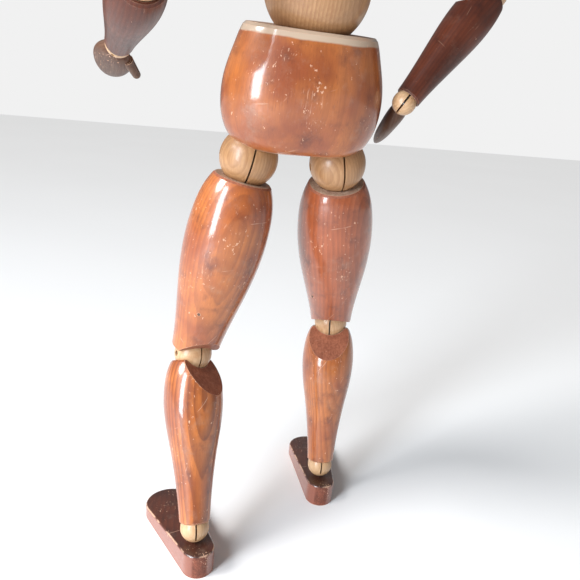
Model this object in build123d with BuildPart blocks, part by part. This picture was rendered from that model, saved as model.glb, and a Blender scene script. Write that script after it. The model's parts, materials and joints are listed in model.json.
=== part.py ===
from build123d import *
import os
from math import acos, atan2, cos, degrees, exp, hypot, radians, sin, sqrt

# An artist's lay figure, about 61 cm tall: turned and carved wooden limbs held together by split
# wooden balls.  Inside each ball two flat steel straps turn on one cross pin, and the straps run
# into the limbs, where tension springs pull the limbs onto the balls.
#
# Millimetres, +Z up.  The figure faces -Y, its own left is +X, and it stands on z = 0.
# Every piece is built in the frame of its joint: origin at the ball's centre, z up the limb that
# carries the ball, x along the ball's cross pin.

# ---- driving dimensions ---------------------------------------------------------------------
PELVIS_CENTRE = (1.48, -4.23)    # where the hips stand over the origin, seen from above
HIP_HEIGHT = 279.7
HIP_HALF = 30.5
HIP_SPLAY = 11.0                 # the hip straps lean outwards by this, in degrees
PELVIS_TOP = 79.0
WAIST_HEIGHT = 101.0             # waist ball above the hips
CHEST_BOTTOM = 14.0
SHOULDER_HALF = 67.0
SHOULDER_HEIGHT = 88.0           # above the waist ball
NECK_HEIGHT = 121.0              # above the waist ball
HEAD_TOP = 97.0                  # above the neck ball
HEAD_RADIUS = 31.0
THIGH_LENGTH = 146.8             # all limb lengths are from ball centre to ball centre
SHIN_LENGTH = 122.2
ANKLE_HEIGHT = 27.3
UPPER_ARM_LENGTH = 105.0
FOREARM_LENGTH = 90.0
HAND_LENGTH = 58.0
FOOT_HEEL = 20.0                 # behind the ankle
FOOT_TOE = 69.0                  # in front of the ankle

WAIST_BALL = 31.5                # ball radii
NECK_BALL = 13.0
SHOULDER_BALL = 14.0
ELBOW_BALL = 10.8
WRIST_BALL = 7.7
HIP_BALL = 19.0
KNEE_BALL = 13.5
ANKLE_BALL = 10.15

SOCKET_GAP = 0.3                 # between a ball and the wooden cup it turns in
KERF = 1.2                       # saw cut between the two halves of a ball
STRAP = 0.5                      # thickness of a strap; two of them share one kerf
RUNNING = 0.05                   # radial clearance of a strap's eye on its pin
PIN_SHARE = 0.15                 # pin radius, eye radius and strap half-width per ball radius
EYE_SHARE = 0.26
STRAP_SHARE = 0.17
PIN_SUNK = 0.12                  # how deep the pin's ends are sunk, per ball radius
STRAP_REACH = 12.0               # how far a strap runs on past the surface of its ball
SPRING_WALL = 0.8
SPRING_LENGTH = 18.0
SPRING_LAP = 4.0                 # the spring's end turns grip this much of the strap
BRAD = 1.0                       # radius of the brads that hold fixed straps and spring ends
BRAD_ROUND = 40.0                # a limb's brad stands this far round from the back
BRAD_PAST = 3.0                  # and runs this far on past the bore
RIM = 1.3                        # chamfer on the turned rims

# ---- the pose: how the limbs stand ----------------------------------------------------------
PELVIS_RECLINE = 7.5
WAIST_TURN = 80.0                # the waist ball's pin runs from front to back,
WAIST_BEND = 8.0                 # so this leans the chest to the figure's left
CHEST_TURN = -70.0
NECK_TURN = 60.0
NECK_BEND = -8.0                 # the head leans back upright
HEAD_TURN = -64.0
HIP_TURN = {"l": -5.0, "r": -4.0}
HIP_BEND = {"l": 3.0, "r": -11.4}
THIGH_TURN = {"l": 21.4, "r": -19.0}
SHIN_TURN = {"l": 24.0, "r": 0.0}
TOE_OUT = {"l": 13.0, "r": 6.5}
UPPER_ARM_AIM = {"l": (0.21, 0.42, -0.88), "r": (-0.61, -0.04, -0.79)}
FOREARM_AIM = {"l": (0.12, -0.95, -0.28), "r": (0.60, 0.12, -0.79)}
HAND_AIM = {"l": (0.14, -0.95, -0.27), "r": (-0.15, -0.88, -0.46)}
HAND_TURN = {"l": 90, "r": 90}   # the palm about its own length

SIDES = {"l": 1, "r": -1}
UP = Vector(0, 0, 1)
LEFT = Vector(1, 0, 0)

os.makedirs("parts", exist_ok=True)
seats = {}                       # name of a ball: (parent frame, ball frame, child frame, limb)


# ---- frames ---------------------------------------------------------------------------------
def along(frame, height):
    """The same frame, moved along its own z."""
    return Plane(origin=frame.origin + frame.z_dir * height, x_dir=frame.x_dir, z_dir=frame.z_dir)


def at(frame, x, y, z):
    """A frame with the same directions whose origin is at local x, y, z."""
    return Plane(origin=frame.from_local_coords((x, y, z)), x_dir=frame.x_dir, z_dir=frame.z_dir)


def turned(frame, axis, angle):
    """The same frame turned about one of its own directions, by the right hand, in degrees."""
    about = Axis((0, 0, 0), axis)
    return Plane(origin=frame.origin, x_dir=frame.x_dir.rotate(about, angle),
                 z_dir=frame.z_dir.rotate(about, angle))


def swivelled(frame, angle):
    """Turned about its limb."""
    return turned(frame, frame.z_dir, angle)


def hinged(frame, angle):
    """Turned about its pin."""
    return turned(frame, frame.x_dir, angle)


def side_plane(frame):
    """The plane of a limb's turned outline: x across the limb, y up along it."""
    return Plane(origin=frame.origin, x_dir=frame.x_dir, z_dir=-frame.y_dir)


def kerf_plane(frame, offset):
    """The plane of a ball's saw cut, moved by offset along the pin."""
    centre = frame.origin + frame.x_dir * offset
    return Plane(origin=centre, x_dir=frame.y_dir, z_dir=frame.x_dir)


def save(piece, name):
    """Names a finished piece and writes its file."""
    piece.part.label = name
    export_step(piece.part, f"parts/{name}.step")


# ---- the skeleton: every ball's place and the way its limbs point ---------------------------
pelvis_frame = Plane(
    origin=(PELVIS_CENTRE[0], PELVIS_CENTRE[1], HIP_HEIGHT),
    x_dir=(1, 0, 0),
    z_dir=(0, sin(radians(PELVIS_RECLINE)), cos(radians(PELVIS_RECLINE))),
)


def set_torso():
    parent = along(pelvis_frame, WAIST_HEIGHT)
    ball = swivelled(parent, WAIST_TURN)
    link = hinged(ball, WAIST_BEND)
    chest = swivelled(link, CHEST_TURN)
    seats["waist"] = (parent, ball, link, chest)
    parent = along(chest, NECK_HEIGHT)
    ball = swivelled(parent, NECK_TURN)
    link = hinged(ball, NECK_BEND)
    head = swivelled(link, HEAD_TURN)
    seats["neck"] = (parent, ball, link, head)


def set_leg(key):
    side = SIDES[key]
    hip = at(pelvis_frame, side * HIP_HALF, 0, 0)
    hip = turned(hip, hip.y_dir, -side * HIP_SPLAY)
    ball = swivelled(hip, HIP_TURN[key])
    link = hinged(ball, HIP_BEND[key])
    thigh = swivelled(link, THIGH_TURN[key])
    seats[f"hip_{key}"] = (hip, ball, link, thigh)

    # The knee bends by just as much as brings the ankle down to its height over the floor.
    knee = along(thigh, -THIGH_LENGTH)
    drop = (knee.origin.Z - ANKLE_HEIGHT) / SHIN_LENGTH
    steep = hypot(thigh.z_dir.Z, thigh.y_dir.Z)
    bend = degrees(acos(drop / steep) - atan2(thigh.y_dir.Z, thigh.z_dir.Z))
    link = hinged(knee, bend)
    shin = swivelled(link, SHIN_TURN[key])
    seats[f"knee_{key}"] = (knee, knee, link, shin)

    # The sole is level, so the ankle's pin is level too and square to the shin.
    ankle = along(shin, -SHIN_LENGTH)
    pin = shin.z_dir.cross(UP).normalized()
    pin = pin if pin.X > 0 else -pin
    strap = Plane(origin=ankle.origin, x_dir=pin, z_dir=shin.z_dir)
    ball = Plane(origin=ankle.origin, x_dir=pin, z_dir=UP)
    heading = radians(side * TOE_OUT[key])
    foot = Plane(origin=ankle.origin, x_dir=(cos(heading), sin(heading), 0), z_dir=UP)
    seats[f"ankle_{key}"] = (ankle, strap, ball, foot)


def set_arm(key):
    side = SIDES[key]
    chest = seats["waist"][3]
    aims = [Vector(*aim[key]).normalized() for aim in (UPPER_ARM_AIM, FOREARM_AIM, HAND_AIM)]
    centre = chest.from_local_coords((side * SHOULDER_HALF, 0, SHOULDER_HEIGHT))
    inward = -chest.x_dir * side
    pin = inward.cross(aims[0]).normalized()
    elbow_pin = aims[0].cross(aims[1]).normalized()
    wrist_pin = aims[1].cross(aims[2]).normalized()
    parent = Plane(origin=centre, x_dir=chest.y_dir, z_dir=inward)
    ball = Plane(origin=centre, x_dir=pin, z_dir=inward)
    link = Plane(origin=centre, x_dir=pin, z_dir=-aims[0])
    arm = Plane(origin=centre, x_dir=-elbow_pin, z_dir=-aims[0])
    seats[f"shoulder_{key}"] = (parent, ball, link, arm)
    elbow = along(arm, -UPPER_ARM_LENGTH)
    forearm = Plane(origin=elbow.origin, x_dir=elbow.x_dir, z_dir=-aims[1])
    seats[f"elbow_{key}"] = (elbow, elbow, forearm, forearm)
    wrist = along(forearm, -FOREARM_LENGTH)
    strap = Plane(origin=wrist.origin, x_dir=wrist_pin, z_dir=-aims[1])
    hand = Plane(origin=wrist.origin, x_dir=wrist_pin, z_dir=-aims[2])
    seats[f"wrist_{key}"] = (wrist, strap, hand, hand)


# ---- what is inside a ball ------------------------------------------------------------------
def bore_radius(radius):
    return STRAP_SHARE * radius + SPRING_WALL + 0.5


def bore_depth(radius):
    """How far the bore for strap and spring runs, from the ball's centre."""
    return radius + STRAP_REACH + SPRING_LENGTH - SPRING_LAP + 2 * BRAD + 1.0


def brad_height(radius):
    return bore_depth(radius) - BRAD - 0.8


def brad_place(radius, height):
    """Where a limb's brad starts, past the bore, pointing round and out of the back."""
    start = -bore_radius(radius) - BRAD_PAST
    around = radians(BRAD_ROUND)
    return Location((start * sin(around), start * cos(around), height), (-90, BRAD_ROUND, 0))


def make_split_ball(name, frame, radius):
    """Two half balls with the saw cut between them and the hole for the cross pin."""
    hole = PIN_SHARE * radius
    face = sqrt(radius ** 2 - (KERF / 2) ** 2)
    mouth = sqrt(radius ** 2 - hole ** 2)
    with BuildPart() as ball:
        with BuildSketch(frame):
            with BuildLine():
                Polyline((mouth, hole), (KERF / 2, hole), (KERF / 2, face))
                RadiusArc((KERF / 2, face), (mouth, hole), radius)
            make_face()
        revolve(axis=Axis(frame.origin, frame.x_dir))
        mirror(about=kerf_plane(frame, 0))
    save(ball, f"{name}_ball")


def make_slotted_ball(name, frame, radius, peg):
    """A whole ball with a blind slot from above, and the hole of its peg below."""
    slot_bottom = 0.4 * radius
    with BuildPart(frame) as ball:
        Sphere(radius)
        Cylinder(PIN_SHARE * radius, 3 * radius, rotation=(0, 90, 0), mode=Mode.SUBTRACT)
        with Locations((0, 0, -slot_bottom)):
            Box(KERF, 3 * radius, 2 * radius, align=(Align.CENTER, Align.CENTER, Align.MIN),
                mode=Mode.SUBTRACT)
        with Locations((0, 0, -0.5 * radius)):
            Cylinder(peg, radius, align=(Align.CENTER, Align.CENTER, Align.MAX), mode=Mode.SUBTRACT)
    save(ball, f"{name}_ball")


def make_pivot(name, frame, radius, way, brad=None):
    """The cross pin and the parent's strap; way is 1 where the strap runs up, -1 down."""
    pin = PIN_SHARE * radius
    reach = radius + STRAP_REACH
    with BuildPart(frame) as pivot:
        with BuildSketch(kerf_plane(frame, -STRAP - RUNNING)):
            Circle(EYE_SHARE * radius)
            with Locations((0, way * reach / 2)):
                Rectangle(2 * STRAP_SHARE * radius, reach)
            Circle(pin + RUNNING, mode=Mode.SUBTRACT)
        extrude(amount=STRAP)
        Cylinder(pin, 2 * radius * (1 - PIN_SUNK), rotation=(0, 90, 0))
        with BuildSketch(frame.offset(way * (reach - SPRING_LAP))):
            Circle(STRAP_SHARE * radius + SPRING_WALL + 0.1)
            Circle(STRAP_SHARE * radius + 0.1, mode=Mode.SUBTRACT)
        extrude(amount=way * SPRING_LENGTH)
        if brad:
            with Locations(brad_place(radius, brad_height(radius))):
                Cylinder(BRAD, brad, align=(Align.CENTER, Align.CENTER, Align.MIN))
    save(pivot, f"{name}_pivot")


def make_link(name, frame, radius, way):
    """The child's strap, beside the parent's in the saw cut, with its tension spring."""
    reach = radius + STRAP_REACH
    with BuildPart(frame) as link:
        with BuildSketch(kerf_plane(frame, RUNNING)):
            Circle(EYE_SHARE * radius)
            with Locations((0, way * reach / 2)):
                Rectangle(2 * STRAP_SHARE * radius, reach)
            Circle(PIN_SHARE * radius + RUNNING, mode=Mode.SUBTRACT)
        extrude(amount=STRAP)
        with BuildSketch(frame.offset(way * (reach - SPRING_LAP))):
            Circle(STRAP_SHARE * radius + SPRING_WALL + 0.1)
            Circle(STRAP_SHARE * radius + 0.1, mode=Mode.SUBTRACT)
        extrude(amount=way * SPRING_LENGTH)
    save(link, f"{name}_link")


def make_swivel_strap(name, frame, radius):
    """The single thick strap of an ankle or wrist, which fills the whole slot."""
    reach = radius + STRAP_REACH
    with BuildPart(frame) as link:
        with BuildSketch(kerf_plane(frame, -STRAP)):
            Circle(EYE_SHARE * radius)
            with Locations((0, reach / 2)):
                Rectangle(2 * STRAP_SHARE * radius, reach)
            Circle(PIN_SHARE * radius + RUNNING, mode=Mode.SUBTRACT)
        extrude(amount=2 * STRAP)
    save(link, f"{name}_link")


def make_pins(name, frame, radius, peg, peg_length):
    """The cross pin of an ankle or wrist ball, and the peg that joins the ball to its limb."""
    with BuildPart(frame) as pins:
        Cylinder(PIN_SHARE * radius, 2 * radius * (1 - PIN_SUNK), rotation=(0, 90, 0))
        with Locations((0, 0, -0.5 * radius)):
            Cylinder(peg, peg_length, align=(Align.CENTER, Align.CENTER, Align.MAX))
    save(pins, f"{name}_pins")


# ---- turned limbs ---------------------------------------------------------------------------
class Turned:
    """A limb's turned shape: rims, outline, balls at its ends and the cuts that let it fold."""

    def __init__(self, length, top, bottom, outline, balls, cuts, brad=False):
        self.length = length
        self.top = top            # rim below the upper ball's centre
        self.bottom = bottom      # rim above the lower ball's centre
        self.outline = outline    # (share of the way from rim to rim, radius)
        self.balls = balls
        self.cuts = cuts          # the fold cuts (at the top, at the bottom)
        self.brad = brad


THIGH_CUT = (5.0, 45)            # the fold cut starts this far behind the bore, at this slant
SHIN_CUT = (4.0, 56)             # steeper on the shin
ELBOW_CUT = (-3.0, -56)          # and in front at the elbow

THIGH = Turned(
    THIGH_LENGTH, 14.0, 5.0,
    [(0, 19.9), (0.1, 24.4), (0.24, 27.1), (0.38, 27.4), (0.56, 25.2), (0.74, 21.4), (0.9, 18.2), (1, 17.0)],
    (HIP_BALL, KNEE_BALL), (None, THIGH_CUT), brad=True,
)
SHIN = Turned(
    SHIN_LENGTH, 5.0, 3.5,
    [(0, 16.2), (0.07, 18.9), (0.16, 20.8), (0.28, 21.3), (0.42, 19.6), (0.58, 16.3), (0.78, 13.0), (1, 10.9)],
    (KNEE_BALL, ANKLE_BALL), (SHIN_CUT, None),
)
UPPER_ARM = Turned(
    UPPER_ARM_LENGTH, 6.0, 4.5,
    [(0, 13.6), (0.12, 15.3), (0.32, 16.3), (0.55, 15.6), (0.8, 14.0), (1, 13.0)],
    (SHOULDER_BALL, ELBOW_BALL), (None, ELBOW_CUT), brad=True,
)
FOREARM = Turned(
    FOREARM_LENGTH, 4.5, 3.0,
    [(0, 12.6), (0.1, 13.7), (0.26, 14.2), (0.5, 12.5), (0.78, 9.7), (1, 8.3)],
    (ELBOW_BALL, WRIST_BALL), (ELBOW_CUT, None),
)


def outline_radius(shape, height):
    """Radius of the outline at a height over the lower ball, between its points."""
    share = 1 - (height - shape.bottom) / (shape.length - shape.top - shape.bottom)
    for (low, near), (high, far) in zip(shape.outline, shape.outline[1:]):
        if low <= share <= high:
            return near + (far - near) * (share - low) / (high - low)
    return shape.outline[-1][1]


def brad_length(shape):
    """From past the bore to flush with the outline."""
    radius = shape.balls[1]
    return bore_radius(radius) + BRAD_PAST + outline_radius(shape, brad_height(radius)) + 0.2


def make_turned(name, limb, shape):
    top = -shape.top
    bottom = -shape.length + shape.bottom
    span = top - bottom
    points = [(radius, top - share * span) for share, radius in shape.outline]
    points[0] = (points[0][0], top - RIM)
    points[-1] = (points[-1][0], bottom + RIM)
    upper, lower = shape.balls
    with BuildPart(limb) as wood:
        with BuildSketch(side_plane(limb)):
            with BuildLine():
                Spline(points)
                Polyline(points[-1], (points[-1][0] - RIM, bottom), (0, bottom), (0, top),
                         (points[0][0] - RIM, top), points[0])
            make_face()
        revolve(axis=Axis(limb.origin, limb.z_dir))
        Sphere(upper + SOCKET_GAP, mode=Mode.SUBTRACT)
        with Locations((0, 0, -shape.length)):
            Sphere(lower + SOCKET_GAP, mode=Mode.SUBTRACT)
        # one bore from each end, so that the straps and springs can be drawn in
        Cylinder(bore_radius(upper), bore_depth(upper), mode=Mode.SUBTRACT,
                 align=(Align.CENTER, Align.CENTER, Align.MAX))
        Cylinder(bore_radius(lower), shape.length, mode=Mode.SUBTRACT,
                 align=(Align.CENTER, Align.CENTER, Align.MAX))
        # the slanting cuts that let the limb fold
        cut_top, cut_bottom = shape.cuts
        if cut_top:
            split(bisect_by=hinged(at(limb, 0, cut_top[0], top), -cut_top[1]), keep=Keep.BOTTOM)
        if cut_bottom:
            split(bisect_by=hinged(at(limb, 0, cut_bottom[0], bottom), cut_bottom[1]), keep=Keep.TOP)
        if shape.brad:
            with Locations(brad_place(lower, brad_height(lower) - shape.length)):
                Cylinder(BRAD, brad_length(shape), align=(Align.CENTER, Align.CENTER, Align.MIN),
                         mode=Mode.SUBTRACT)
    save(wood, name)


# ---- carved pieces --------------------------------------------------------------------------
# height over the hips, half width, half depth, and how deep the cleft is
PELVIS_SECTIONS = [(9.0, 38.0, 26.0, 3.2), (11.5, 42.5, 29.5, 3.6), (18.0, 47.5, 33.0, 3.2),
                   (29.0, 50.8, 35.5, 1.8), (41.0, 51.4, 36.0, 0.5), (54.0, 49.4, 34.8, 0.0),
                   (67.0, 45.4, 32.4, 0.0), (77.2, 41.6, 30.0, 0.0)]
CLEFT_WIDTH = 22.0               # degrees round the section
CHEST_SECTIONS = [(15.6, 33.0, 25.0), (24.0, 37.5, 28.5), (42.0, 44.5, 32.5), (60.0, 50.5, 34.5),
                  (76.0, 54.5, 34.0), (88.0, 55.0, 31.5), (98.0, 50.0, 27.5), (106.0, 40.0, 23.0),
                  (112.0, 27.0, 18.0)]


def cleft_outline(half_width, half_depth, cleft):
    """An oval with a soft dimple at the back and a softer one in front."""
    points = []
    for angle in range(0, 360, 10):
        back = exp(-((angle - 90) / CLEFT_WIDTH) ** 2)
        front = 0.6 * exp(-((angle - 270) / CLEFT_WIDTH) ** 2)
        depth = half_depth - cleft * (back + front)
        points.append((half_width * cos(radians(angle)), depth * sin(radians(angle))))
    return points


LONG_BRAD = 46.0                 # the brads that cross pelvis and chest, driven in from the front


def front_brad(x, start, z):
    return Location((x, start, z), (-90, 0, 0))


def make_brads(name, frame, places):
    with BuildPart(frame) as brads:
        with Locations(*places):
            Cylinder(BRAD, LONG_BRAD, align=(Align.CENTER, Align.CENTER, Align.MIN))
    save(brads, name)


def make_pelvis():
    lean = radians(HIP_SPLAY)
    height = brad_height(HIP_BALL)
    inset = HIP_HALF - height * sin(lean)
    places = [
        front_brad(0, -36.2, WAIST_HEIGHT - brad_height(WAIST_BALL)),
        front_brad(inset, -33.0, height * cos(lean)),
        front_brad(-inset, -33.0, height * cos(lean)),
    ]
    with BuildPart(pelvis_frame) as pelvis:
        for height, half_width, half_depth, cleft in PELVIS_SECTIONS:
            with BuildSketch(pelvis_frame.offset(height)):
                with BuildLine():
                    Spline(*cleft_outline(half_width, half_depth, cleft), periodic=True)
                make_face()
        loft()
        # the rim's rounded shoulder
        rim_face = pelvis.faces().filter_by(GeomType.PLANE).sort_by(Axis.Z)[-1]
        extrude(rim_face, amount=PELVIS_TOP - PELVIS_SECTIONS[-1][0])
        chamfer(pelvis.faces().filter_by(GeomType.PLANE).sort_by(Axis.Z)[-1].outer_wire().edges(), 1.7)
        with Locations((0, 0, WAIST_HEIGHT)):
            Sphere(WAIST_BALL + SOCKET_GAP, mode=Mode.SUBTRACT)
            Cylinder(bore_radius(WAIST_BALL), bore_depth(WAIST_BALL), mode=Mode.SUBTRACT,
                     align=(Align.CENTER, Align.CENTER, Align.MAX))
        for side in SIDES.values():
            with Locations(Location((side * HIP_HALF, 0, 0), (0, -side * HIP_SPLAY, 0))):
                Sphere(HIP_BALL + SOCKET_GAP, mode=Mode.SUBTRACT)
                Cylinder(bore_radius(HIP_BALL), bore_depth(HIP_BALL), mode=Mode.SUBTRACT,
                         align=(Align.CENTER, Align.CENTER, Align.MIN))
        with Locations(*places):
            Cylinder(BRAD, LONG_BRAD, align=(Align.CENTER, Align.CENTER, Align.MIN),
                     mode=Mode.SUBTRACT)
    save(pelvis, "pelvis")
    make_brads("pelvis_brads", pelvis_frame, places)


def make_chest():
    chest_frame = seats["waist"][3]
    depth = brad_height(SHOULDER_BALL)
    places = [
        front_brad(0, -34.6, brad_height(WAIST_BALL)),
        front_brad(0, -33.2, NECK_HEIGHT - brad_height(NECK_BALL)),
        front_brad(SHOULDER_HALF - depth, -28.0, SHOULDER_HEIGHT),
        front_brad(depth - SHOULDER_HALF, -28.0, SHOULDER_HEIGHT),
    ]
    with BuildPart(chest_frame) as chest:
        for height, half_width, half_depth in CHEST_SECTIONS:
            with BuildSketch(chest_frame.offset(height)):
                Ellipse(half_width, half_depth)
        loft()
        rim_face = chest.faces().filter_by(GeomType.PLANE).sort_by(Axis.Z)[0]
        extrude(rim_face, amount=CHEST_SECTIONS[0][0] - CHEST_BOTTOM)
        chamfer(chest.faces().filter_by(GeomType.PLANE).sort_by(Axis.Z)[0].outer_wire().edges(), RIM)
        with Locations((0, 0, NECK_HEIGHT)):
            Sphere(NECK_BALL + SOCKET_GAP, mode=Mode.SUBTRACT)
            Cylinder(bore_radius(NECK_BALL), bore_depth(NECK_BALL), mode=Mode.SUBTRACT,
                     align=(Align.CENTER, Align.CENTER, Align.MAX))
        Sphere(WAIST_BALL + SOCKET_GAP, mode=Mode.SUBTRACT)
        Cylinder(bore_radius(WAIST_BALL), bore_depth(WAIST_BALL), mode=Mode.SUBTRACT,
                 align=(Align.CENTER, Align.CENTER, Align.MIN))
        for side in SIDES.values():
            with Locations(Location((side * SHOULDER_HALF, 0, SHOULDER_HEIGHT), (0, -side * 90, 0))):
                Sphere(SHOULDER_BALL + SOCKET_GAP, mode=Mode.SUBTRACT)
                Cylinder(bore_radius(SHOULDER_BALL), bore_depth(SHOULDER_BALL), mode=Mode.SUBTRACT,
                         align=(Align.CENTER, Align.CENTER, Align.MIN))
        with Locations(*places):
            Cylinder(BRAD, LONG_BRAD, align=(Align.CENTER, Align.CENTER, Align.MIN),
                     mode=Mode.SUBTRACT)
    save(chest, "chest")
    make_brads("chest_brads", chest_frame, places)


def make_head():
    """An egg without features, its wide end up and back."""
    neck = seats["neck"][3]
    tilt = hinged(neck, -10)
    half = 0.5 * (HEAD_TOP - 3.0)
    middle = HEAD_TOP - half
    egg = []
    for angle in range(0, 181, 20):
        swell = 1 + 0.14 * cos(radians(angle))
        egg.append((HEAD_RADIUS * swell * sin(radians(angle)), middle + half * cos(radians(angle))))
    with BuildPart(neck) as head:
        with BuildSketch(side_plane(tilt)):
            with BuildLine():
                Spline(*egg, tangents=((1, 0), (-1, 0)))
                Line(egg[-1], egg[0])
            make_face()
        revolve(axis=Axis(tilt.origin, tilt.z_dir))
        split(bisect_by=neck.offset(7.0), keep=Keep.TOP)
        Sphere(NECK_BALL + SOCKET_GAP, mode=Mode.SUBTRACT)
        Cylinder(bore_radius(NECK_BALL), bore_depth(NECK_BALL), mode=Mode.SUBTRACT,
                 align=(Align.CENTER, Align.CENTER, Align.MIN))
    save(head, "head")


ANKLE_PEG = 2.4
WRIST_PEG = 1.8


def make_foot(key):
    """A wedge with a narrow round heel and a wide round toe, its top sloping to the toe."""
    side = SIDES[key]
    foot_frame = seats[f"ankle_{key}"][3]
    sole = foot_frame.offset(-ANKLE_HEIGHT)
    heel, toe = 11.5, 18.0
    heel_top, toe_top = 19.0, 7.5
    slope = degrees(atan2(heel_top - toe_top, FOOT_HEEL + FOOT_TOE))
    with BuildPart(foot_frame) as foot:
        with BuildSketch(sole):
            with Locations((0, FOOT_HEEL - heel)):
                Circle(heel)
            with Locations((side * 2.0, toe - FOOT_TOE)):
                Circle(toe)
            make_hull()
        extrude(amount=25)
        split(bisect_by=hinged(at(sole, 0, FOOT_HEEL, heel_top), slope), keep=Keep.BOTTOM)
        fillet(foot.faces().sort_by(Axis.Z)[-1].edges(), 1.6)
        Sphere(ANKLE_BALL + SOCKET_GAP, mode=Mode.SUBTRACT)
        Cylinder(ANKLE_PEG + RUNNING, ANKLE_BALL + 9.3, mode=Mode.SUBTRACT,
                 align=(Align.CENTER, Align.CENTER, Align.MAX))
    save(foot, f"foot_{key}")


def make_hand(key):
    """A mitten: flat palm, joined fingers and a thumb."""
    hand_frame = turned(seats[f"wrist_{key}"][3], seats[f"wrist_{key}"][3].z_dir, HAND_TURN[key])
    sections = [(-7.0, 4.8, 4.0), (-13, 9.2, 5.6), (-25, 12.0, 5.6), (-38, 11.2, 5.0), (-49, 8.4, 3.8),
                (-HAND_LENGTH, 3.4, 1.6)]
    side = SIDES[key]
    thumb = at(hand_frame, -side * 8.0, 0, -15)
    thumb = turned(thumb, thumb.y_dir, side * 30)
    with BuildPart(hand_frame) as hand:
        for height, half_width, half_thick in sections:
            with BuildSketch(hand_frame.offset(height)):
                Ellipse(half_width, half_thick)
        loft()
        fillet(hand.faces().sort_by(Axis(hand_frame.origin, hand_frame.z_dir))[0].edges(), 1.2)
        with BuildSketch(thumb):
            Circle(3.4)
        with BuildSketch(thumb.offset(-17)):
            Circle(2.7)
        loft()
        with BuildSketch(side_plane(thumb.offset(-17))):
            with BuildLine():
                CenterArc((0, 0), 2.7, -90, 90)
                Polyline((2.7, 0), (0, 0), (0, -2.7))
            make_face()
        revolve(axis=Axis(thumb.origin, thumb.z_dir))
        Sphere(WRIST_BALL, mode=Mode.SUBTRACT)
        Cylinder(WRIST_PEG, WRIST_BALL + 8, mode=Mode.SUBTRACT,
                 align=(Align.CENTER, Align.CENTER, Align.MAX))
    save(hand, f"hand_{key}")


# ---- the whole figure -----------------------------------------------------------------------
set_torso()
for key in SIDES:
    set_leg(key)
    set_arm(key)

make_pelvis()
make_chest()
make_head()

for name, radius in (("waist", WAIST_BALL), ("neck", NECK_BALL)):
    _, ball_frame, child_frame, _ = seats[name]
    make_split_ball(name, ball_frame, radius)
    make_pivot(name, ball_frame, radius, -1)
    make_link(name, child_frame, radius, 1)

for key in SIDES:
    for name, radius in (("hip", HIP_BALL), ("shoulder", SHOULDER_BALL)):
        _, ball_frame, child_frame, _ = seats[f"{name}_{key}"]
        make_split_ball(f"{name}_{key}", ball_frame, radius)
        make_pivot(f"{name}_{key}", ball_frame, radius, 1)
        make_link(f"{name}_{key}", child_frame, radius, -1)
    for name, radius, carrier in (("knee", KNEE_BALL, THIGH), ("elbow", ELBOW_BALL, UPPER_ARM)):
        _, ball_frame, child_frame, _ = seats[f"{name}_{key}"]
        make_split_ball(f"{name}_{key}", ball_frame, radius)
        make_pivot(f"{name}_{key}", ball_frame, radius, 1, brad=brad_length(carrier))
        make_link(f"{name}_{key}", child_frame, radius, -1)
    for name, radius, peg, length in (("ankle", ANKLE_BALL, ANKLE_PEG, 0.5 * ANKLE_BALL + 9),
                                      ("wrist", WRIST_BALL, WRIST_PEG, 0.5 * WRIST_BALL + 8)):
        _, strap_frame, ball_frame, _ = seats[f"{name}_{key}"]
        make_slotted_ball(f"{name}_{key}", ball_frame, radius, peg)
        make_swivel_strap(f"{name}_{key}", strap_frame, radius)
        make_pins(f"{name}_{key}", ball_frame, radius, peg, length)
    make_turned(f"thigh_{key}", seats[f"hip_{key}"][3], THIGH)
    make_turned(f"shin_{key}", seats[f"knee_{key}"][3], SHIN)
    make_turned(f"upper_arm_{key}", seats[f"shoulder_{key}"][3], UPPER_ARM)
    make_turned(f"forearm_{key}", seats[f"elbow_{key}"][3], FOREARM)
    make_foot(key)
    make_hand(key)
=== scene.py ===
# %% [markdown]
# # A jointed lay figure in turned wood
# The figure arrives finished in shape: every block, limb, ball, strap and spring is already in its place.
# What is missing is what the eye reads as wood: the grain that follows each limb, the stain and lacquer
# over it, and the wear of years of handling. This lesson builds those finishes from node groups, gives each
# piece its own copy laid along its own length, and sets up a quiet studio around the figure.

# %% Load the figure
import json
from math import radians

import bpy
from mathutils import Matrix, Vector


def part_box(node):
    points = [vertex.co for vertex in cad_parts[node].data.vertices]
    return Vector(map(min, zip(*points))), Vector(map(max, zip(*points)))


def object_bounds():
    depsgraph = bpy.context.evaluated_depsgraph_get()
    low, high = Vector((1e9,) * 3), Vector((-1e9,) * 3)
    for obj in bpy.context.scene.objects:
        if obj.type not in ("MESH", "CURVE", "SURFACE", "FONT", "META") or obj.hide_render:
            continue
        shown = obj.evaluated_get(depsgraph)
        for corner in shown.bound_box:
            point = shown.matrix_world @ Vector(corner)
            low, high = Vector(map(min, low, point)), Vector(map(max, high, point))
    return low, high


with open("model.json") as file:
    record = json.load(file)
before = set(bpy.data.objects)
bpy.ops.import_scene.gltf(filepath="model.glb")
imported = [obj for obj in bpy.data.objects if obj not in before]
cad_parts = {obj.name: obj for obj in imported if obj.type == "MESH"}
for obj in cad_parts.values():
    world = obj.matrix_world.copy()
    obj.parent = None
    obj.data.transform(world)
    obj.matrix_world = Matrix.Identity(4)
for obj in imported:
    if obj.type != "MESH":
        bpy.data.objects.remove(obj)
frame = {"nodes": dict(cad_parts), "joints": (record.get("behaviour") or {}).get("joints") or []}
cad_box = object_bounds()
print("loaded", len(frame["nodes"]), "pieces; box", cad_box)

# %% [markdown]
# ## Where each limb lies
# Grain runs along a limb, whatever way the limb points. So each piece needs its own set of directions: an
# origin at one of its joints, z along its length and x across it. The joints already hold this. The axis of
# a turning joint is the length of the limb it turns, and the axis of a bending joint is the pin that
# crosses it.

# %% Joint places and directions
JOINTS = {joint["name"]: joint for joint in frame["joints"]}
SIDES = ("l", "r")


def centre(joint):
    """The middle of the ball that a joint belongs to."""
    return Vector(JOINTS[joint]["pos_m"])


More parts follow.
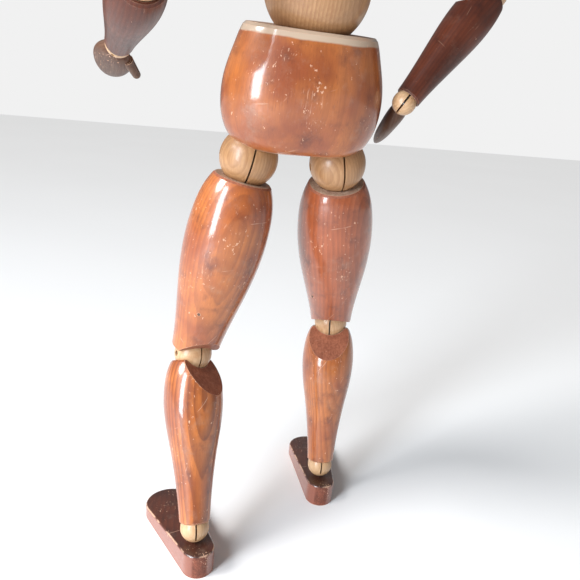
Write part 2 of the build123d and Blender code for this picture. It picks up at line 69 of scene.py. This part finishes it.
def axis(joint):
    """The direction a joint turns about."""
    return Vector(JOINTS[joint]["axis"]).normalized()


def box_middle(node):
    """The middle of a piece's box."""
    low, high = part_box(node)
    return (Vector(low) + Vector(high)) / 2


def lay(origin, along, across):
    """Origin and turn of a set of directions with z along the piece and x across it."""
    z = along.normalized()
    y = z.cross(across).normalized()
    x = y.cross(z)
    turn = Matrix((x, y, z)).transposed()
    return origin, turn.to_euler()


laid = {
    "pelvis": lay(centre("waist_turn"), axis("waist_turn"), centre("hip_turn_l") - centre("hip_turn_r")),
    "chest": lay(centre("waist_turn"), axis("chest_turn"), centre("arm_swing_l") - centre("arm_swing_r")),
    "head": lay(centre("neck_bend"), axis("head_turn"), axis("neck_bend")),
    "waist_ball": lay(centre("waist_bend"), axis("waist_turn"), axis("waist_bend")),
    "neck_ball": lay(centre("neck_bend"), axis("neck_turn"), axis("neck_bend")),
}
for side in SIDES:
    hip, knee, ankle = (centre(f"{name}_{side}") for name in ("hip_bend", "knee_bend", "ankle_bend"))
    shoulder, elbow, wrist = (centre(f"{name}_{side}") for name in ("arm_raise", "elbow_bend", "wrist_bend"))
    knee_pin, elbow_pin = axis(f"knee_bend_{side}"), axis(f"elbow_bend_{side}")
    laid[f"thigh_{side}"] = lay(knee, hip - knee, knee_pin)
    laid[f"shin_{side}"] = lay(ankle, knee - ankle, knee_pin)
    laid[f"upper_arm_{side}"] = lay(elbow, shoulder - elbow, elbow_pin)
    laid[f"forearm_{side}"] = lay(wrist, elbow - wrist, elbow_pin)
    laid[f"hand_{side}"] = lay(wrist, wrist - box_middle(f"hand_{side}"), axis(f"wrist_bend_{side}"))
    toe_way = axis(f"ankle_bend_{side}").cross(Vector((0, 0, 1)))
    laid[f"foot_{side}"] = lay(ankle, toe_way, Vector((0, 0, 1)))
    laid[f"hip_{side}_ball"] = lay(hip, hip - knee, axis(f"hip_bend_{side}"))
    laid[f"knee_{side}_ball"] = lay(knee, hip - knee, knee_pin)
    laid[f"ankle_{side}_ball"] = lay(ankle, knee - ankle, axis(f"ankle_bend_{side}"))
    laid[f"shoulder_{side}_ball"] = lay(shoulder, axis(f"arm_swing_{side}"), axis(f"arm_raise_{side}"))
    laid[f"elbow_{side}_ball"] = lay(elbow, shoulder - elbow, elbow_pin)
    laid[f"wrist_{side}_ball"] = lay(wrist, elbow - wrist, axis(f"wrist_bend_{side}"))
print("laid grain directions for", len(laid), "pieces")

# %% [markdown]
# ## Small helpers for node trees
# A node tree is easier to read when each line says what it makes. `add` makes one node and fills its
# sockets, and `maths`, `between` and `blend_colours` are the three operations that the finishes use most.

# %% Node helpers
def feed(tree, socket, value):
    """Links a socket to a value that is a socket, or sets it where it is a number or a vector."""
    if isinstance(value, bpy.types.NodeSocket):
        tree.links.new(value, socket)
    else:
        socket.default_value = value


def add(tree, kind, sockets=None, **settings):
    """Makes a node, sets its settings, and feeds its sockets by name or number."""
    node = tree.nodes.new(kind)
    for key, value in settings.items():
        setattr(node, key, value)
    for key, value in (sockets or {}).items():
        feed(tree, node.inputs[key], value)
    return node


def maths(tree, operation, first, second=0.0, clamp=False):
    """One sum; the result is a number."""
    node = add(tree, "ShaderNodeMath", {0: first, 1: second}, operation=operation, use_clamp=clamp)
    return node.outputs[0]


def vectors(tree, operation, first, second=(0, 0, 0)):
    """One sum on vectors; the result is a vector."""
    return add(tree, "ShaderNodeVectorMath", {0: first, 1: second}, operation=operation).outputs[0]


def between(tree, value, low, high):
    """0 below low, 1 above high, and a smooth step from one to the other."""
    node = add(tree, "ShaderNodeMapRange", {"Value": value, "From Min": low, "From Max": high},
               interpolation_type="SMOOTHSTEP")
    return node.outputs["Result"]


def blend_colours(tree, share, first, second, way="MIX"):
    """The second colour over the first by the given share."""
    node = add(tree, "ShaderNodeMix", {"Factor": share}, data_type="RGBA", blend_type=way)
    feed(tree, node.inputs[6], first)
    feed(tree, node.inputs[7], second)
    return node.outputs[2]


def noise(tree, place, size, detail=3.0, roughness=0.5):
    """Smooth random values whose blots are about `size` metres across."""
    node = add(tree, "ShaderNodeTexNoise", {"Vector": place, "Scale": 1 / size, "Detail": detail,
                                            "Roughness": roughness})
    return node.outputs["Fac"]


def new_group(name, inputs, outputs):
    """An empty node group with named sockets; returns the group, its input node and its output node."""
    group = bpy.data.node_groups.new(name, "ShaderNodeTree")
    kinds = {"value": "NodeSocketFloat", "vector": "NodeSocketVector", "colour": "NodeSocketColor"}
    for label, kind in inputs:
        group.interface.new_socket(label, in_out="INPUT", socket_type=kinds[kind])
    for label, kind in outputs:
        group.interface.new_socket(label, in_out="OUTPUT", socket_type=kinds[kind])
    return group, group.nodes.new("NodeGroupInput"), group.nodes.new("NodeGroupOutput")


def place_group(tree, group, sockets):
    """Puts a group into a material and returns its outputs."""
    return add(tree, "ShaderNodeGroup", sockets, node_tree=group).outputs


print("node helpers ready")

# %% [markdown]
# ## Group: limb place
# Turns the piece's own coordinates into limb coordinates in metres, z along the limb. It also turns the
# surface direction in the same way, so that a finish can tell the end of a limb from its side.

# %% Build the limb place group
limb_place, given, made = new_group("limb place", [("Origin", "vector"), ("Turn", "vector")],
                                    [("Place", "vector"), ("Facing", "vector")])
where = add(limb_place, "ShaderNodeTexCoord").outputs
for source, origin, label in ((where["Object"], given.outputs["Origin"], "Place"),
                              (where["Normal"], (0, 0, 0), "Facing")):
    mapped = add(limb_place, "ShaderNodeMapping", {"Vector": source, "Location": origin,
                                                   "Rotation": given.outputs["Turn"]}, vector_type="TEXTURE")
    limb_place.links.new(mapped.outputs[0], made.inputs[label])
print("group:", limb_place.name)

# %% [markdown]
# ## Group: wood grain
# A turned limb is cut from a board, so its growth rings are part of large circles whose middle, the pith,
# lies outside the limb. Distance from the pith, bent a little by noise, gives the rings, and where the limb
# tapers the rings come out as pointed arches. Fibres are the same noise stretched a long way along z, and
# pores are the darkest of the finest fibres.

# %% Build the wood grain group
DRIFT_SIZE = 0.028
DRIFT_STRETCH = (1.0, 1.0, 0.22)
PITH_STRETCH = (1.0, 1.0, 0.05)
GRAIN_DETAIL = 3
GRAIN_ROUGHNESS = 0.6
grain, given, made = new_group(
    "wood grain",
    [("Place", "vector"), ("Pith", "vector"), ("Ring Width", "value"), ("Wander", "value")],
    [("Rings", "value"), ("Fibres", "value"), ("Pores", "value")])
place = given.outputs["Place"]
drift = noise(grain, vectors(grain, "MULTIPLY", place, DRIFT_STRETCH), DRIFT_SIZE, 2)
wander = maths(grain, "MULTIPLY", maths(grain, "SUBTRACT", drift, 0.5), given.outputs["Wander"])
off_pith = vectors(grain, "SUBTRACT", place, given.outputs["Pith"])
from_pith = vectors(grain, "MULTIPLY", off_pith, PITH_STRETCH)
distance = add(grain, "ShaderNodeVectorMath", {0: from_pith}, operation="LENGTH").outputs["Value"]
radius = maths(grain, "ADD", distance, wander)
turns = maths(grain, "FRACT", maths(grain, "DIVIDE", radius, given.outputs["Ring Width"]))
rings = maths(grain, "MULTIPLY", between(grain, turns, 0.15, 0.85), between(grain, turns, 1.0, 0.9))
grain.links.new(rings, made.inputs["Rings"])
for label, stretch, size, low, high in (("Fibres", 0.045, 0.0011, 0.3, 0.7),
                                        ("Pores", 0.06, 0.0005, 0.6, 0.72)):
    drawn_out = vectors(grain, "MULTIPLY", place, (1.0, 1.0, stretch))
    streaks = noise(grain, drawn_out, size, GRAIN_DETAIL, GRAIN_ROUGHNESS)
    grain.links.new(between(grain, streaks, low, high), made.inputs[label])
print("group:", grain.name)

# %% [markdown]
# ## Group: knocks and scratches
# Years of handling leave four marks. Chips are small spots where the lacquer is gone, in clusters.
# Scratches are long thin lines, each seen for a short stretch only. Scuffs are crowds of short fine
# strokes. Rubbed patches are broad and faint. All four are masks, so each finish decides for itself what
# lies under the lacquer.

# %% Build the knocks and scratches group
CLUSTER_SIZE = 0.021
CHIP_SIZE = 0.0017
STROKE_SIZE = 0.0009
SCRATCH_BEND = 0.012
knocks, given, made = new_group(
    "knocks and scratches",
    [("Place", "vector"), ("Amount", "value")],
    [("Chips", "value"), ("Scratches", "value"), ("Scuffs", "value"), ("Rubbed", "value")])
place, amount = given.outputs["Place"], given.outputs["Amount"]
cluster = noise(knocks, place, CLUSTER_SIZE, 2)
spots = noise(knocks, vectors(knocks, "MULTIPLY", place, (1.0, 1.0, 0.6)), CHIP_SIZE, 3, 0.65)
spotted = maths(knocks, "ADD", spots, maths(knocks, "MULTIPLY", cluster, 0.38))
edge = maths(knocks, "SUBTRACT", 0.945, maths(knocks, "MULTIPLY", amount, 0.07))
knocks.links.new(between(knocks, maths(knocks, "SUBTRACT", spotted, edge), 0.0, 0.03), made.inputs["Chips"])
scuffs = None
for tilt in (0.5, -0.65):
    leaned = add(knocks, "ShaderNodeMapping", {"Vector": place, "Rotation": (tilt, 0.4, tilt),
                                               "Scale": (1.0, 1.0, 0.09)}).outputs[0]
    strokes = between(knocks, noise(knocks, leaned, STROKE_SIZE, 2), 0.64, 0.72)
    scuffs = strokes if scuffs is None else maths(knocks, "MAXIMUM", scuffs, strokes)
scuffed = between(knocks, noise(knocks, place, 0.024, 3, 0.6), 0.56, 0.68)
scuffs = maths(knocks, "MULTIPLY", scuffs, scuffed)
knocks.links.new(maths(knocks, "MULTIPLY", scuffs, amount, clamp=True), made.inputs["Scuffs"])
lines = None
for tilt, spacing, seed in ((0.35, 0.017, 0.0), (-0.8, 0.023, 0.4), (1.25, 0.031, 0.9)):
    turned = add(knocks, "ShaderNodeMapping", {"Vector": place, "Rotation": (tilt, 0.5 * tilt, tilt),
                                               "Location": (seed, seed, seed)}).outputs[0]
    bent = add(knocks, "ShaderNodeSeparateXYZ", {0: turned}).outputs[0]
    bend = maths(knocks, "MULTIPLY", noise(knocks, place, 0.05, 1), SCRATCH_BEND)
    stripe = maths(knocks, "FRACT", maths(knocks, "DIVIDE", maths(knocks, "ADD", bent, bend), spacing))
    thin = between(knocks, maths(knocks, "ABSOLUTE", maths(knocks, "SUBTRACT", stripe, 0.5)), 0.009, 0.004)
    seen = between(knocks, noise(knocks, turned, 0.012 + 0.2 * spacing, 2), 0.62, 0.70)
    line = maths(knocks, "MULTIPLY", thin, seen)
    lines = line if lines is None else maths(knocks, "MAXIMUM", lines, line)
knocks.links.new(maths(knocks, "MULTIPLY", lines, amount, clamp=True), made.inputs["Scratches"])
rubbed = maths(knocks, "MULTIPLY", between(knocks, noise(knocks, place, 0.016, 5, 0.7), 0.52, 0.78), amount)
knocks.links.new(rubbed, made.inputs["Rubbed"])
print("group:", knocks.name)

# %% [markdown]
# ## Group: edge wear
# Lacquer goes first where a hand or a neighbour rubs, along every edge. The Bevel node gives the surface
# direction that a rounded edge would have. Where that differs from the real direction there is an edge, and
# noise breaks the line up so that it doesn't look drawn.

# %% Build the edge wear group
edge_wear, given, made = new_group(
    "edge wear",
    [("Place", "vector"), ("Reach", "value"), ("Amount", "value")],
    [("Mask", "value")])
soft = add(edge_wear, "ShaderNodeBevel", {"Radius": given.outputs["Reach"]}, samples=6).outputs[0]
hard = add(edge_wear, "ShaderNodeNewGeometry").outputs["Normal"]
same = add(edge_wear, "ShaderNodeVectorMath", {0: soft, 1: hard}, operation="DOT_PRODUCT").outputs["Value"]
worn = maths(edge_wear, "SUBTRACT", 1.0, same)
broken = maths(edge_wear, "MULTIPLY", noise(edge_wear, given.outputs["Place"], 0.0045, 4, 0.65), 0.16)
worn = between(edge_wear, maths(edge_wear, "SUBTRACT", worn, broken), -0.055, 0.035)
worn = maths(edge_wear, "MULTIPLY", worn, given.outputs["Amount"], clamp=True)
edge_wear.links.new(worn, made.inputs["Mask"])
print("group:", edge_wear.name)

# %% [markdown]
# ## Group: ends and cuts
# The rims of the limbs and the slanted fold cuts were sawn after turning, and have hardly any lacquer.
# Both are found by how far the surface faces along the limb: straight along it is a rim, and leaning by the
# angle of the saw is a cut.

# %% Build the ends and cuts group
ends, given, made = new_group("ends and cuts", [("Facing", "vector"), ("Cut Lean", "value")],
                              [("Rim", "value"), ("Cut", "value")])
facing = add(ends, "ShaderNodeSeparateXYZ", {0: given.outputs["Facing"]}).outputs[2]
lean = maths(ends, "ABSOLUTE", facing)
ends.links.new(between(ends, lean, 0.86, 0.93), made.inputs["Rim"])
off_cut = maths(ends, "ABSOLUTE", maths(ends, "SUBTRACT", lean, given.outputs["Cut Lean"]))
ends.links.new(between(ends, off_cut, 0.03, 0.012), made.inputs["Cut"])
print("group:", ends.name)

# %% [markdown]
# ## Finish: stained and lacquered wood
# The limbs are pale wood under an amber to red-brown stain, with a hard glossy lacquer over it. The stain
# took unevenly, so two broad noises mix three tones. The rings and fibres darken it, and the wear groups
# take it off again. The gloss is a coat on top: it is missing where the lacquer is chipped, and thinner
# where it is rubbed.

# %% Define the lacquered wood finish
AMBER = (0.53, 0.160, 0.036, 1)
RED_AMBER = (0.44, 0.108, 0.034, 1)
CHESTNUT = (0.33, 0.076, 0.021, 1)
UMBER = (0.13, 0.028, 0.012, 1)
BARE = (0.76, 0.47, 0.32, 1)
DUSTY = (0.40, 0.305, 0.235, 1)
RAW_CUT = (0.40, 0.135, 0.068, 1)
RIM_WOOD = (0.58, 0.43, 0.31, 1)
THIGH_CUT_LEAN = 0.707
FOLD_CUT_LEAN = 0.559
NO_CUT = 2.0
BROAD_STAIN = 0.034
FINE_STAIN = 0.012
SAWN_STREAKS = 0.006


def lay_over(tree, colour, *layers):
    """Lays tones over a colour in turn, each given as its mask, its share and the tone."""
    for mask, share, tone in layers:
        colour = blend_colours(tree, maths(tree, "MULTIPLY", mask, share), colour, tone)
    return colour


def lacquered_wood(name, origin, turn, light, middle, dark, wear=1.0, lean=THIGH_CUT_LEAN,
                   pith=(0.055, 0.03, 0.0), ring=0.0034, rim=RIM_WOOD, cut=RAW_CUT, gloss=0.12, figure=0.30,
                   flank=None, band=None, polish=1.0, shine=0.5):
    """Stained wood under lacquer, with worn edges, chips, scratches, bare rims and sawn cuts.

    flank is the colour of a foot's sides, whose top edge is worn bare. Above the height band the wood was
    sanded bare. polish is how much of the coat is left, and shine how strongly the wood itself reflects."""
    material = bpy.data.materials.new(name)
    material.use_nodes = True
    tree = material.node_tree
    tree.nodes.clear()
    place, facing = place_group(tree, limb_place, {"Origin": origin, "Turn": tuple(turn)})
    rings, fibres, pores = place_group(tree, grain, {"Place": place, "Pith": pith, "Ring Width": ring,
                                                     "Wander": 0.011})
    chips, scratches, scuffs, rubbed = place_group(tree, knocks, {"Place": place, "Amount": wear})
    edges = place_group(tree, edge_wear, {"Place": place, "Reach": 0.0011, "Amount": min(wear, 1.0)})[0]
    rims, cuts = place_group(tree, ends, {"Facing": facing, "Cut Lean": lean})

    broad = between(tree, noise(tree, place, BROAD_STAIN, 3), 0.36, 0.66)
    fine = between(tree, noise(tree, place, FINE_STAIN, 4, 0.6), 0.50, 0.85)
    colour = blend_colours(tree, fine, blend_colours(tree, broad, light, middle), dark)
    colour = lay_over(tree, colour, (rings, figure, dark), (fibres, 0.20, dark), (pores, 0.45, UMBER),
                      (rubbed, 0.30, DUSTY))
    height_on = add(tree, "ShaderNodeSeparateXYZ", {0: place}).outputs[2]
    if flank:
        up = add(tree, "ShaderNodeSeparateXYZ", {0: facing}).outputs[0]
        sides = between(tree, maths(tree, "ABSOLUTE", up), 0.55, 0.30)
        colour = lay_over(tree, colour, (sides, 0.8, flank))
        lip = maths(tree, "MULTIPLY", between(tree, up, 0.30, 0.50), between(tree, up, 0.95, 0.80))
        lip = maths(tree, "MULTIPLY", lip, between(tree, noise(tree, place, 0.008, 4, 0.65), 0.42, 0.58))
        colour = lay_over(tree, colour, (lip, 0.7, BARE))
    if band is not None:
        wavy = maths(tree, "ADD", height_on, maths(tree, "MULTIPLY", noise(tree, place, 0.012, 3), 0.0016))
        colour = blend_colours(tree, between(tree, wavy, band, band + 0.0012), colour, rim)
    colour = lay_over(tree, colour, (scuffs, 0.55, BARE))
    colour = blend_colours(tree, cuts, colour, cut)
    colour = blend_colours(tree, rims, colour, rim)
    sawn = maths(tree, "MAXIMUM", cuts, rims)
    blots = between(tree, noise(tree, place, SAWN_STREAKS, 5, 0.7), 0.35, 0.65)
    colour = lay_over(tree, colour, (maths(tree, "MULTIPLY", blots, sawn), 0.45, dark),
                      (maths(tree, "MULTIPLY", fibres, sawn), 0.5, dark))
    colour = lay_over(tree, colour, (edges, 0.75, BARE), (chips, 0.85, BARE), (scratches, 0.55, BARE))

    bare = maths(tree, "MAXIMUM", maths(tree, "MAXIMUM", chips, rims), maths(tree, "MAXIMUM", edges, cuts))
    rough = maths(tree, "ADD", maths(tree, "MULTIPLY", fibres, 0.08), 0.34)
    rough = maths(tree, "ADD", rough, maths(tree, "MULTIPLY", bare, 0.30), clamp=True)
    coat = maths(tree, "SUBTRACT", 1.0, maths(tree, "MULTIPLY", bare, 0.88), clamp=True)
    coat = maths(tree, "MULTIPLY", coat, maths(tree, "SUBTRACT", 1.0, maths(tree, "MULTIPLY", rubbed, 0.45)))
    coat = maths(tree, "MULTIPLY", coat, polish)

    height = maths(tree, "MULTIPLY", fibres, 0.10)
    for hollow, depth in ((pores, 0.18), (chips, 0.55), (scratches, 0.45)):
        height = maths(tree, "SUBTRACT", height, maths(tree, "MULTIPLY", hollow, depth))
    ripple = maths(tree, "MULTIPLY", noise(tree, place, 0.009, 2), 0.8)
    height = maths(tree, "ADD", height, ripple)
    relief = add(tree, "ShaderNodeBump", {"Height": height, "Strength": 0.55, "Distance": 0.00025})

    shader = add(tree, "ShaderNodeBsdfPrincipled", {
        "Base Color": colour, "Roughness": rough, "Coat Weight": coat, "Coat Roughness": gloss,
        "Coat IOR": 1.5, "IOR": 1.45, "Specular IOR Level": shine, "Normal": relief.outputs[0]})
    add(tree, "ShaderNodeOutputMaterial", {"Surface": shader.outputs[0]})
    return material


def dress(node, material):
    """Gives a piece its finish in every slot."""
    piece = frame["nodes"][node]
    for slot in piece.material_slots:
        slot.material = material
    if not piece.material_slots:
        piece.data.materials.append(material)


print("finish: lacquered wood")

# %% [markdown]
# ## The body blocks and limbs
# All of these share one finish with small differences: the pelvis and chest come from wider boards, so
# their rings are wider, and each limb's pith lies on another side, so that no two limbs show the same
# figure.

# %% Dress the blocks and limbs
limb_finishes = {
    "pelvis": dict(ring=0.0085, pith=(0.05, 0.10, 0.0), wear=1.0, lean=NO_CUT, figure=0.14, band=-0.0265),
    "chest": dict(ring=0.0075, pith=(-0.05, 0.09, 0.0), wear=0.7, lean=NO_CUT, figure=0.20),
    "head": dict(ring=0.0044, pith=(0.05, 0.05, 0.0), wear=0.5, lean=NO_CUT),
    "thigh_l": dict(pith=(0.02, 0.055, 0.0), wear=0.95),
    "thigh_r": dict(pith=(-0.06, 0.03, 0.0), wear=0.85),
    "shin_l": dict(pith=(0.004, 0.045, 0.0), wear=0.9, ring=0.0032, lean=FOLD_CUT_LEAN, figure=0.55),
    "shin_r": dict(pith=(0.06, -0.02, 0.0), wear=0.7, ring=0.0030, lean=FOLD_CUT_LEAN),
    "upper_arm_l": dict(pith=(0.04, 0.02, 0.0), wear=0.7, ring=0.0026, lean=FOLD_CUT_LEAN),
    "upper_arm_r": dict(pith=(-0.04, 0.02, 0.0), wear=0.7, ring=0.0026, lean=FOLD_CUT_LEAN),
}
for node, values in limb_finishes.items():
    tones = (RED_AMBER, CHESTNUT, UMBER) if node == "thigh_r" else (AMBER, CHESTNUT, UMBER)
    dress(node, lacquered_wood(f"lacquer_{node}", *laid[node], *tones, **values))
print("dressed", ", ".join(limb_finishes))

# %% [markdown]
# ## Forearms, feet and hands
# The forearms and feet took a darker, redder stain. The feet are almost black-brown on top and lose their
# colour along the top edge and round the heel. The hands are pale wood; their dull grey-brown colour is
# painted shade, and they have hardly any gloss left.

# %% Dress the forearms, feet and hands
RED_BROWN = (0.130, 0.032, 0.015, 1)
FLANK_RED = (0.30, 0.085, 0.045, 1)
DARK_RED = (0.060, 0.016, 0.010, 1)
NEAR_BLACK = (0.036, 0.012, 0.009, 1)
# The two hand tones are painted shade: the hands are pale wood, shown in the darker grey-brown of their
# shade.
HAND_SHADE_GREY = (0.150, 0.085, 0.052, 1)
HAND_SHADE_BROWN = (0.115, 0.060, 0.038, 1)
for side in SIDES:
    dark_stain = (RED_BROWN, DARK_RED, NEAR_BLACK)
    node = f"forearm_{side}"
    dress(node, lacquered_wood(f"stain_{node}", *laid[node], *dark_stain, wear=0.35, ring=0.0024,
                               lean=FOLD_CUT_LEAN, rim=RED_BROWN, gloss=0.2, polish=0.3, shine=0.25))
    node = f"foot_{side}"
    dress(node, lacquered_wood(f"stain_{node}", *laid[node], *dark_stain, wear=0.8, ring=0.003,
                               lean=NO_CUT, rim=FLANK_RED, gloss=0.16, flank=FLANK_RED))
    # Painted shade: the hands are pale wood, dressed here in dark grey-brown tones and a grey-brown rim
    # under the stain material.
    node = f"hand_{side}"
    dress(node, lacquered_wood(f"stain_{node}", *laid[node], HAND_SHADE_GREY, HAND_SHADE_BROWN, DARK_RED, wear=0.6,
                               ring=0.0022, lean=NO_CUT, rim=HAND_SHADE_GREY, gloss=0.30, polish=0.1, shine=0.2))
print("dressed the forearms, feet and hands")

# %% [markdown]
# ## Finish: the bare balls
# The balls were left pale, with a thin seal. They show fine straight grain, a soft gloss, a little grey
# from handling, and on the knees some stain that rubbed off from the limbs.

# %% Define and give the ball finish
PALE = (0.47, 0.255, 0.115, 1)
TAN = (0.29, 0.125, 0.048, 1)
CREAM = (0.62, 0.400, 0.225, 1)
GRIME = (0.235, 0.150, 0.090, 1)
STAIN = (0.40, 0.150, 0.045, 1)


def ball_wood(name, origin, turn, light, dark, stain):
    """Pale sealed wood with fine grain, grime and rubbed-off stain."""
    material = bpy.data.materials.new(name)
    material.use_nodes = True
    tree = material.node_tree
    tree.nodes.clear()
    place = place_group(tree, limb_place, {"Origin": origin, "Turn": tuple(turn)})[0]
    rings, fibres, pores = place_group(tree, grain, {"Place": place, "Pith": (0.03, 0.04, 0.0),
                                                     "Ring Width": 0.0023, "Wander": 0.005})
    edges = place_group(tree, edge_wear, {"Place": place, "Reach": 0.0006, "Amount": 1.0})[0]
    blots = between(tree, noise(tree, place, 0.011, 4, 0.6), 0.50, 0.78)
    handled = between(tree, noise(tree, place, 0.006, 5, 0.7), 0.52, 0.85)
    colour = lay_over(tree, light, (rings, 0.45, dark), (fibres, 0.45, dark), (pores, 0.35, GRIME),
                      (blots, stain, STAIN), (handled, 0.40, GRIME), (edges, 0.35, CREAM))
    rough = maths(tree, "ADD", maths(tree, "MULTIPLY", handled, 0.2), 0.40)
    ridges, grooves = maths(tree, "MULTIPLY", fibres, 0.25), maths(tree, "MULTIPLY", pores, 0.35)
    height = maths(tree, "SUBTRACT", ridges, grooves)
    relief = add(tree, "ShaderNodeBump", {"Height": height, "Strength": 0.5, "Distance": 0.0002})
    shader = add(tree, "ShaderNodeBsdfPrincipled", {
        "Base Color": colour, "Roughness": rough, "Coat Weight": 0.35, "Coat Roughness": 0.22,
        "Normal": relief.outputs[0]})
    add(tree, "ShaderNodeOutputMaterial", {"Surface": shader.outputs[0]})
    return material


for node, (origin, turn) in laid.items():
    if node.endswith("_ball"):
        tones = (PALE, TAN, 0.25) if node.startswith(("hip", "shoulder", "waist")) else (CREAM, PALE, 0.55)
        dress(node, ball_wood(f"ball_{node}", origin, turn, *tones))
print("dressed", sum(node.endswith("_ball") for node in laid), "balls")

# %% [markdown]
# ## Finish: spring steel and brads
# Pins, straps and springs are drawn steel. They sit inside the wood and show only as a glint in a saw cut.
# The ends of the brads show as small dots in the thighs and are filled and stained over, so they take the
# colour of dark wood.

# %% Define and give the steel finish
STEEL = (0.36, 0.36, 0.37, 1)
FILLER = (0.10, 0.050, 0.030, 1)


def drawn_steel(name, colour, metal):
    """Drawn wire and strip with fine lines along it and a film of old oil."""
    material = bpy.data.materials.new(name)
    material.use_nodes = True
    tree = material.node_tree
    tree.nodes.clear()
    place = add(tree, "ShaderNodeTexCoord").outputs["Object"]
    drawn = noise(tree, vectors(tree, "MULTIPLY", place, (1.0, 1.0, 0.1)), 0.0004, 2)
    film = between(tree, noise(tree, place, 0.006, 3), 0.4, 0.7)
    shade = lay_over(tree, colour, (film, 0.5, FILLER))
    rough = maths(tree, "ADD", maths(tree, "MULTIPLY", drawn, 0.25), 0.25)
    relief = add(tree, "ShaderNodeBump", {"Height": drawn, "Strength": 0.3, "Distance": 0.0001})
    shader = add(tree, "ShaderNodeBsdfPrincipled", {
        "Base Color": shade, "Roughness": rough, "Metallic": metal, "Normal": relief.outputs[0]})
    add(tree, "ShaderNodeOutputMaterial", {"Surface": shader.outputs[0]})
    return material


steel = drawn_steel("drawn_steel", STEEL, 1.0)
filled = drawn_steel("filled_brads", FILLER, 0.0)
for node in frame["nodes"]:
    if node not in laid:
        holds_brad = node.startswith(("knee", "elbow")) and node.endswith("_pivot")
        dress(node, filled if holds_brad or node.endswith("_brads") else steel)
print("dressed", len(frame["nodes"]) - len(laid), "metal pieces")

# %% [markdown]
# ## Floor and light
# A pale floor runs away under the figure. One tall cool window stands to the figure's left, and gives the
# narrow bright streaks down the pelvis, thigh and shin. A broad skylight from the same side lights the
# floor evenly, and a pale room fills the rest, so that the far side of each limb stays dark.

# %% Build the floor
FLOOR_SIZE = 8.0
PAPER_WHITE = (0.93, 0.93, 0.93, 1)
PAPER_GREY = (0.90, 0.90, 0.90, 1)
bpy.ops.mesh.primitive_plane_add(size=FLOOR_SIZE, location=(0, 0, cad_box[0][2]))
floor = bpy.context.object
floor.name = "floor"
paper = bpy.data.materials.new("pale_floor")
paper.use_nodes = True
tree = paper.node_tree
shader = tree.nodes["Principled BSDF"]
spot = add(tree, "ShaderNodeTexCoord").outputs["Object"]
clouds = noise(tree, spot, 0.4, 3)
feed(tree, shader.inputs["Base Color"], blend_colours(tree, clouds, PAPER_WHITE, PAPER_GREY))
shader.inputs["Roughness"].default_value = 0.7
floor.data.materials.append(paper)
print("floor", FLOOR_SIZE, "m")

# %% Build the lights
COOL = (0.86, 0.93, 1.0)
WARM = (1.0, 0.95, 0.9)
SKY_POWER = 3.0
SKY_SPREAD = 24
SKY_FROM = (1.35, 0.10, 1.15)
ROOM_LIGHT = 0.22
ROOM_SEEN = 0.66


def panel(name, place, target, width, height, power, colour):
    """A rectangular soft light that faces the target."""
    lamp = bpy.data.lights.new(name, "AREA")
    lamp.shape = "RECTANGLE"
    lamp.size = width
    lamp.size_y = height
    lamp.energy = power
    lamp.color = colour
    holder = bpy.data.objects.new(name, lamp)
    holder.location = place
    holder.rotation_euler = (Vector(target) - Vector(place)).to_track_quat("-Z", "Y").to_euler()
    bpy.context.collection.objects.link(holder)
    return holder


middle = (0.0, 0.0, 0.28)
panel("window", (0.95, 0.62, 0.60), middle, width=0.30, height=1.0, power=20, colour=COOL)
panel("low_fill", (-1.2, 1.0, 0.5), middle, width=0.9, height=0.9, power=0.8, colour=WARM)
skylight = bpy.data.objects.new("skylight", bpy.data.lights.new("skylight", "SUN"))
skylight.data.energy = SKY_POWER
skylight.data.angle = radians(SKY_SPREAD)
skylight.rotation_euler = Vector(SKY_FROM).to_track_quat("Z", "Y").to_euler()
bpy.context.collection.objects.link(skylight)
world = bpy.data.worlds.new("pale sky")
world.use_nodes = True
tree = world.node_tree
room = tree.nodes["Background"]
room.inputs["Color"].default_value = (1.0, 1.0, 1.0, 1)
seen = add(tree, "ShaderNodeLightPath").outputs["Is Camera Ray"]
brighter = maths(tree, "MULTIPLY", seen, ROOM_SEEN)
feed(tree, room.inputs["Strength"], maths(tree, "ADD", brighter, ROOM_LIGHT))
bpy.context.scene.world = world
bpy.context.scene.view_settings.view_transform = "Standard"

# %% [markdown]
# ## Camera
# The figure is seen from behind and a little from its left, from close by and slightly above, as one looks
# down at a figure on a table. The camera leans a few degrees to one side.

# %% Set the camera
CAMERA_PLACE = (0.1089, 0.3543, 0.3207)
CAMERA_TURN = 162.4
CAMERA_DIP = 19.3
CAMERA_ROLL = 5.9
SENSOR_WIDTH = 36
LENS = 34.55
NEAREST = 0.01
camera = bpy.data.objects.new("camera", bpy.data.cameras.new("camera"))
camera.data.sensor_width = SENSOR_WIDTH
camera.data.lens = LENS
camera.matrix_world = (Matrix.Translation(CAMERA_PLACE)
                       @ Matrix.Rotation(radians(CAMERA_TURN), 4, "Z")
                       @ Matrix.Rotation(radians(90 - CAMERA_DIP), 4, "X")
                       @ Matrix.Rotation(radians(CAMERA_ROLL), 4, "Z"))
camera.data.clip_start = NEAREST
bpy.context.collection.objects.link(camera)
bpy.context.scene.camera = camera
print("camera at", CAMERA_PLACE)
